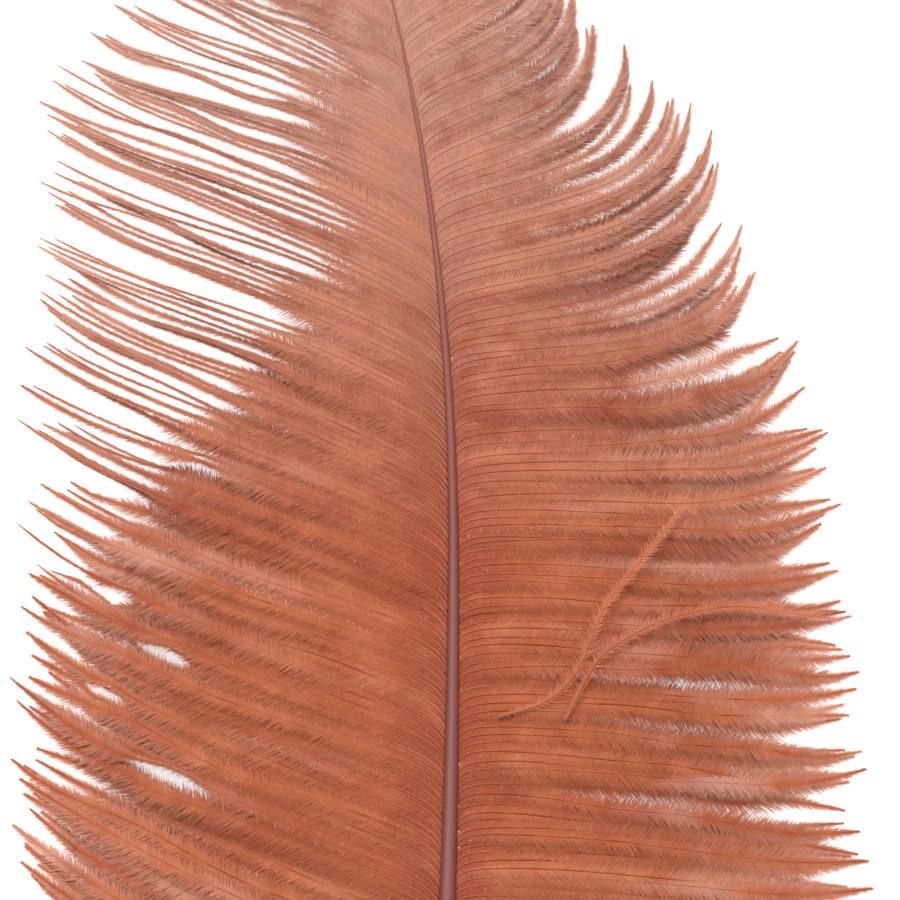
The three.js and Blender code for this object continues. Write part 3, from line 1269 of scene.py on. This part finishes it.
@dataclass(frozen=True)
class ShaftFinish:
    """Dyed horn: mauve brown, smooth, with fine streaks along its length, and a painted side tint outside its
    upper right flank that stands for light from the left.
    """

    horn: tuple[float, float, float, float] = linear(97, 45, 39)
    # Painted light: the tint that the shaft takes outside its upper right flank, for light from the left.
    painted_side_tint: tuple[float, float, float, float] = linear(93, 47, 41)
    streak: tuple[float, float, float, float] = linear(88, 45, 39)
    worn: tuple[float, float, float, float] = linear(126, 80, 66)
    quill: tuple[float, float, float, float] = linear(206, 160, 136)
    roughness: float = 0.42
    gloss: float = 0.2
    grain_scale: tuple[float, float, float] = (14.0, 46.0, 1.0)
    streak_from: tuple[float, float] = (0.38, 0.68)
    painted_side_from: tuple[float, float] = (0.18, 0.31)
    painted_side_amount: float = 0.85
    worn_from: tuple[float, float] = (0.62, 0.92)
    worn_amount: float = 0.8
    bare_from: tuple[float, float] = (0.03, 0.17)
    bump: float = 0.25
    bump_depth: float = 0.0001

    def material(self) -> bpy.types.Material:
        """Build the shaft's material.

        Returns:
            The material.
        """
        material, make = blank_material("Dyed horn")
        flow = make.add("ShaderNodeUVMap", uv_map=BAKE_MAP).outputs[0]
        along, around, _ = make.split(flow)
        stretched = make.add("ShaderNodeMapping", {"Vector": flow, "Scale": self.grain_scale}).outputs[0]
        grain = make.add(
            "ShaderNodeTexNoise", {"Vector": stretched, "Scale": 1.0, "Detail": 5.0, "Roughness": 0.6}
        ).outputs[0]
        horn = make.mix(make.ramp(grain, *self.streak_from), self.horn, self.streak)
        # Painted light: the side tint covers the shaft around its girth except the upper right flank,
        # standing for light from the left.
        left = make.math("MULTIPLY", make.ramp(around, *self.painted_side_from), self.painted_side_amount)
        horn = make.mix(left, horn, self.painted_side_tint)
        horn = make.mix(make.ramp(along, *self.worn_from, top=self.worn_amount), horn, self.worn)
        colour = make.mix(make.ramp(along, *self.bare_from, bottom=1.0, top=0.0), horn, self.quill)
        bump = make.add(
            "ShaderNodeBump", {"Strength": self.bump, "Distance": self.bump_depth, "Height": grain}
        )
        skin = make.add(
            "ShaderNodeBsdfPrincipled",
            {
                "Base Color": colour,
                "Roughness": self.roughness,
                "Specular IOR Level": self.gloss,
                "Normal": bump.outputs[0],
            },
        ).outputs[0]
        make.add("ShaderNodeOutputMaterial", {"Surface": skin})
        return material


@dataclass
class Shaft:
    """The bare quill and the rachis, in one length, flattened a little above and grooved below."""

    course: ShaftCourse
    sides: int = 20
    rings: int = 190
    ring_power: float = 1.15
    flatten: float = 0.08
    flat_angle: float = 0.35
    groove: float = 0.3
    groove_angle: float = 0.5
    blunt: float = 10.0
    end_radius: float = 0.9
    pit_depth: float = 0.9
    floor: float = 0.02

    def build(self, origin: np.ndarray, finish: bpy.types.Material) -> bpy.types.Object:
        """Make the shaft.

        Args:
            origin: The quill's end in the row frame, in millimetres.
            finish: The shaft's material.

        Returns:
            The shaft's piece.
        """
        share = np.linspace(0.0, 1.0, self.rings + 1)
        station = self.course.length * share**self.ring_power
        centre = self.course.axis(station)
        tangent = self.course.tangent(station)
        across = np.stack([tangent[:, 1], -tangent[:, 0], np.zeros(len(station))], axis=-1)
        across /= np.linalg.norm(across, axis=-1, keepdims=True)
        up = np.cross(across, tangent)
        radius = self.course.radius(station)
        rounded = np.sin(np.clip(station / self.blunt, 0.0, 1.0) * np.pi / 2)
        ceiling = self.end_radius + (self.course.quill_radius - self.end_radius) * rounded
        radius = np.minimum(radius, ceiling)[:, None]
        angle = np.arange(self.sides) / self.sides * 2 * np.pi
        below = np.angle(np.exp(1j * (angle + np.pi / 2)))
        grooved = smooth(station, self.course.quill_length, self.course.quill_length * 2)[:, None]
        dent = self.groove * grooved * np.exp(-((below / self.groove_angle) ** 2))
        flat = self.flatten * grooved * np.exp(-(((angle - np.pi / 2) / self.flat_angle) ** 2))
        reach = radius * (1.0 - dent - flat)
        rings = (
            centre[:, None, :]
            + across[:, None, :] * (reach * np.cos(angle))[..., None]
            + up[:, None, :] * (reach * np.sin(angle))[..., None]
        )
        rings[..., 2] = np.maximum(rings[..., 2], self.floor)
        pit = centre[0] + tangent[0] * self.pit_depth
        tip = centre[-1] + tangent[-1] * self.course.tip_radius
        return self._piece(rings, pit, tip, share, origin, finish)

    def _piece(
        self,
        rings: np.ndarray,
        pit: np.ndarray,
        tip: np.ndarray,
        share: np.ndarray,
        origin: np.ndarray,
        finish: bpy.types.Material,
    ) -> bpy.types.Object:
        """Skin the rings, close both ends and lay out the UV map.

        Args:
            rings: One ring of points for each station.
            pit: The bottom of the small pit in the quill's end.
            tip: The rachis's far end.
            share: Each ring's share of the length.
            origin: The quill's end in the row frame, in millimetres.
            finish: The shaft's material.

        Returns:
            The shaft's piece.
        """
        count, sides = rings.shape[:2]
        points = np.concatenate([rings.reshape(-1, 3), pit[None], tip[None]]) + origin
        faces: list[tuple[int, ...]] = []
        maps: list[tuple[float, float]] = []
        last = (count - 1) * sides
        for i in range(sides):
            after = (i + 1) % sides
            v, w = i / sides, (i + 1) / sides
            faces.append((i, after, count * sides))
            maps.extend([(0.0, v), (0.0, w), (0.0, (v + w) / 2)])
            faces.append((last + after, last + i, count * sides + 1))
            maps.extend([(1.0, w), (1.0, v), (1.0, (v + w) / 2)])
            for r in range(count - 1):
                a, b = r * sides + i, r * sides + after
                faces.append((a, a + sides, b + sides, b))
                maps.extend([(share[r], v), (share[r + 1], v), (share[r + 1], w), (share[r], w)])
        mesh = bpy.data.meshes.new("shaft")
        mesh.from_pydata((points * METRE).tolist(), [], faces)
        layer = mesh.uv_layers.new(name=BAKE_MAP)
        layer.data.foreach_set("uv", np.asarray(maps, dtype=np.float32).ravel())
        mesh.materials.append(finish)
        mesh.shade_smooth()
        return put("shaft", mesh)


@dataclass
class Crown:
    """The barbs that fan out from the rachis's end."""

    course: ShaftCourse
    style: BarbStyle
    seed: int = 91
    count: int = 22
    length: float = 31.0
    spread: float = 0.62
    spread_jitter: float = 0.03
    spread_start: float = 0.25
    spread_power: float = 0.6
    stations: tuple[float, float] = (5.0, 0.5)
    scatter: float = 0.22
    proud: float = 0.6
    fluff: float = 2.8
    splay: float = 48.0
    tip_splay: float = 18.0
    tip_share: tuple[float, float] = (0.6, 1.0)
    fluff_share: tuple[float, float] = (-0.2, 0.3)
    tip_thinning: float = 0.5
    tone_spread: float = 0.6

    def build(self) -> Barbs:
        """Grow the crown's barbs.

        Returns:
            The barbs.
        """
        rng = np.random.default_rng(self.seed)
        style = self.style
        share = np.linspace(0.0, 1.0, style.points)[None, :]
        far, near = (self.course.length - back for back in self.stations)
        station = rng.uniform(far, near, self.count)
        root = self.course.axis(station)
        tangent = self.course.tangent(self.course.length)
        fan = np.linspace(-self.spread, self.spread, self.count)
        fan = fan + rng.normal(0, self.spread_jitter, self.count)
        opening = self.spread_start + (1.0 - self.spread_start) * share**self.spread_power
        heading = math.atan2(tangent[0], tangent[1]) + fan[:, None] * opening
        length = self.length * (1.0 - self.scatter * rng.random(self.count))[:, None]
        step = length / (style.points - 1)
        x = root[:, :1] + np.cumsum(np.sin(heading) * step, axis=1) - np.sin(heading) * step
        y = root[:, 1:2] + np.cumsum(np.cos(heading) * step, axis=1) - np.cos(heading) * step
        z = style.height(root[:, 2:], share)
        z = z + rng.normal(0.0, self.proud, (self.count, 1)) * np.sin(np.pi * share)
        points = np.stack(np.broadcast_arrays(x, y, z), axis=-1)
        full = np.broadcast_to(share, points.shape[:2]).copy()
        girth = style.girth(full)
        ending = smooth(full, *self.tip_share)
        fluff = self.fluff * smooth(full, *self.fluff_share) * (1.0 - self.tip_thinning * ending)
        splay = self.splay - self.tip_splay * ending
        tone = np.broadcast_to(rng.normal(0.0, self.tone_spread, (self.count, 1)), full.shape).copy()
        return Barbs(points, girth, fluff, np.ones_like(full), splay, tone, full)


@dataclass(frozen=True)
class Strays:
    """Barbs that came out of their place and lie across the right vane."""

    paths: tuple[tuple[tuple[float, float], ...], ...] = (
        (
            (18.8, 170.4),
            (26.6, 172.9),
            (30.1, 176.7),
            (32.8, 182.9),
            (34.5, 188.7),
            (37.7, 192.9),
            (42.3, 199.1),
            (47.0, 206.3),
        ),
        (
            (28.7, 170.2),
            (33.9, 181.1),
            (38.4, 184.2),
            (43.7, 187.8),
            (55.9, 192.2),
            (70.9, 191.8),
        ),
    )
    vane_width: float = 68.0
    clearance: float = 0.3
    fluff: float = 2.0
    splay: float = 48.0
    girth: float = 1.8
    girth_from: float = 0.3
    root_fluff: float = 0.4
    root_share: float = 0.25
    tip_thinning: float = 0.4
    tip_share: float = 0.8
    smoothings: int = 3
    tone: float = -1.2
    share_from: float = 0.25
    share_to: float = 0.62

    def build(self, course: ShaftCourse, style: BarbStyle) -> Barbs:
        """Lay the stray barbs.

        Args:
            course: The shaft, from whose height the vane beneath them falls.
            style: The sizes that they share with the other barbs.

        Returns:
            The stray barbs.
        """
        share = np.linspace(0.0, 1.0, style.points)
        lines = []
        for path in self.paths:
            knots = np.asarray(path)
            gaps = np.linalg.norm(np.diff(knots, axis=0), axis=1)
            place = np.concatenate([[0.0], np.cumsum(gaps)]) / gaps.sum()
            line = np.stack([np.interp(share, place, knots[:, k]) for k in range(2)], axis=-1)
            for _ in range(self.smoothings):
                line[1:-1] = (line[:-2] + 2 * line[1:-1] + line[2:]) / 4
            axis = course.axis(line[:, 1])
            out = (line[:, 0] - axis[:, 0]) / self.vane_width
            lines.append(np.column_stack([line, style.height(axis[:, 2], out) + self.clearance]))
        points = np.stack(lines)
        full = np.broadcast_to(share, points.shape[:2]).copy()
        girth = self.girth * style.girth(self.girth_from + (1.0 - self.girth_from) * full)
        grown = self.root_fluff + (1.0 - self.root_fluff) * smooth(full, 0.0, self.root_share)
        fluff = self.fluff * grown * (1.0 - self.tip_thinning * smooth(full, self.tip_share, 1.0))
        splay = np.full_like(full, self.splay)
        tone = np.full_like(full, self.tone)
        told = self.share_from + (self.share_to - self.share_from) * full
        return Barbs(points, girth, fluff, np.ones_like(full), splay, tone, told)


@dataclass
class Feather:
    """The whole feather: shaft, both vanes, crown and stray barbs."""

    course: ShaftCourse = field(default_factory=ShaftCourse)
    style: BarbStyle = field(default_factory=BarbStyle)
    parting: Parting = field(default_factory=Parting)
    fringe: Fringe = field(default_factory=Fringe)
    stray_fringe: Fringe = field(
        default_factory=lambda: Fringe(spacing=0.34, width=0.2, jitter=0.1, droop=0.06)
    )
    right_style: BarbStyle = field(default_factory=lambda: BarbStyle(root_girth=0.21))

    def quill_end(self) -> np.ndarray:
        """Find the quill's end on the CAD solid.

        Returns:
            Its place on the floor in the row frame, in millimetres.
        """
        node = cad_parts[CAD_NODE]
        count = len(node.data.vertices)
        places = np.empty(count * 3)
        node.data.vertices.foreach_get("co", places)
        world = places.reshape(-1, 3) @ np.array(node.matrix_world)[:3, :3].T
        world = (world + np.array(node.matrix_world)[:3, 3]) / METRE
        end = world[world[:, 1] < world[:, 1].min() + 0.5]
        low, high = end.min(axis=0), end.max(axis=0)
        return np.array([(low[0] + high[0]) / 2, (low[1] + high[1]) / 2, 0.0])

    def build(self) -> list[bpy.types.Object]:
        """Make every piece of the feather.

        Returns:
            The pieces.
        """
        origin = self.quill_end()
        barb_finish, stray_finish = BarbFinish().material(), STRAY_FINISH.material()
        shaft = Shaft(self.course).build(origin, ShaftFinish().material())
        pieces = [shaft]
        tree = self.fringe.tree()
        vanes = (
            Vane(
                LEFT_GROWTH,
                self.course,
                self.style,
                self.parting,
                seed=11,
                longest_lock=1.05,
                gather=0.66,
                tip_to=0.95,
                tip_fluff=1.6,
                tip_splay=31.0,
                splits=LEFT_SPLITS,
            ),
            Vane(
                RIGHT_GROWTH,
                self.course,
                self.right_style,
                self.parting,
                seed=23,
                barb_lie=1.1,
                loose=0.55,
            ),
        )
        bundles: list[tuple[str, Barbs]] = []
        for vane in vanes:
            barbs = vane.build()
            roots = barbs.points[:, 0, 1]
            for zone in Zone:
                low, high = zone.value
                rows = np.flatnonzero((roots >= low) & (roots < high))
                name = f"vane_{vane.growth.side.name.lower()}_{zone.name.lower()}"
                bundles.append((name, barbs.pick(rows)))
        bundles.append(("crown", Crown(self.course, self.style).build()))
        bundles.append(("stray_barbs", Strays().build(self.course, self.style)))
        for number, (name, barbs) in enumerate(bundles):
            stray = name == "stray_barbs"
            fringe, finish = (self.stray_fringe, stray_finish) if stray else (self.fringe, barb_finish)
            piece = fringe.dress(name, barbs, tree, finish, origin, 100 * number)
            pieces.append(piece)
        for piece in pieces:
            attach(piece, BODY)
            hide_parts(CAD_NODE)
        return pieces


@dataclass(frozen=True)
class Studio:
    """A glowing pale floor, soft lights, and the camera above the quill's side."""

    origin: tuple[float, float, float]
    target: tuple[float, float, float] = (11.5, 216.0, 12.0)
    elevation: float = 66.0
    distance: float = 620.0
    lens: float = 160.0
    floor_half: float = 1.6
    floor_grey: float = 0.35
    floor_glow: float = 0.72
    sky: float = 0.8

    def aim(self) -> Vector:
        """Give the point on the feather that the lights and the camera face, in metres."""
        return (Vector(self.origin) + Vector(self.target)) * METRE

    def build(self) -> None:
        """Make the floor, the lights, the world and the camera."""
        scene = bpy.context.scene
        scene.view_settings.view_transform = "Standard"
        self._floor()
        self._world(scene)
        self._light("Key", (-220.0, 160.0, 860.0), 420.0, 5.6)
        self._light("Overhead", (30.0, 60.0, 1100.0), 1400.0, 19.4)
        self._camera(scene)

    def _floor(self) -> bpy.types.Object:
        """Make the floor, which shines enough to look white.

        Returns:
            The floor, in metres.
        """
        half = self.floor_half
        mesh = bpy.data.meshes.new("floor")
        corners = [(-half, -half, 0), (half, -half, 0), (half, half, 0), (-half, half, 0)]
        mesh.from_pydata(corners, [], [(0, 1, 2, 3)])
        material, make = blank_material("Pale floor")
        skin = make.add(
            "ShaderNodeBsdfPrincipled",
            {
                "Base Color": (self.floor_grey, self.floor_grey, self.floor_grey, 1.0),
                "Roughness": 0.9,
                "Specular IOR Level": 0.0,
                "Emission Color": (1.0, 1.0, 1.0, 1.0),
                "Emission Strength": self.floor_glow,
            },
        ).outputs[0]
        make.add("ShaderNodeOutputMaterial", {"Surface": skin})
        mesh.materials.append(material)
        return put("floor", mesh)

    def _world(self, scene: bpy.types.Scene) -> None:
        """Fill the room with even pale light.

        Args:
            scene: The scene that gets the world.
        """
        world = bpy.data.worlds.new("Room")
        world.use_nodes = True
        scene.world = world
        world.node_tree.nodes.clear()
        make = NodeMaker(world.node_tree)
        sky = make.add("ShaderNodeBackground", {0: (1.0, 1.0, 1.0, 1.0), 1: self.sky}).outputs[0]
        make.add("ShaderNodeOutputWorld", {0: sky})

    def _light(self, name: str, place: tuple[float, float, float], size: float, power: float) -> None:
        """Hang one square soft light that faces the feather.

        Args:
            name: The light's name.
            place: Where it hangs, in millimetres.
            size: Its side, in millimetres.
            power: Its power in watts.
        """
        data = bpy.data.lights.new(name, "AREA")
        data.shape = "SQUARE"
        data.size = size * METRE
        data.energy = power
        light = put(name, data)
        light.location = Vector(place) * METRE
        facing = self.aim() - light.location
        light.rotation_euler = facing.to_track_quat("-Z", "Y").to_euler()

    def _camera(self, scene: bpy.types.Scene) -> None:
        """Set the camera on the quill's side, looking down on the feather's middle.

        Args:
            scene: The scene that gets the camera.
        """
        data = bpy.data.cameras.new("Camera")
        data.lens = self.lens
        data.sensor_width = 36.0
        data.clip_end = 20.0
        camera = put("Camera", data)
        rise = math.radians(self.elevation)
        back = Vector((0.0, -math.cos(rise), math.sin(rise))) * self.distance
        camera.location = self.aim() + back * METRE
        camera.rotation_euler = (-back).to_track_quat("-Z", "Y").to_euler()
        scene.camera = camera


def main() -> None:
    """Build the feather and its studio, and report each piece."""
    logging.basicConfig(level=logging.INFO, format="%(name)s: %(message)s")
    feather = Feather()
    pieces = feather.build()
    Studio(origin=tuple(feather.quill_end())).build()
    for piece in pieces:
        piece.data.calc_loop_triangles()
        LOG.info("%s: %d triangles", piece.name, len(piece.data.loop_triangles))


if __name__ == "__main__":
    main()
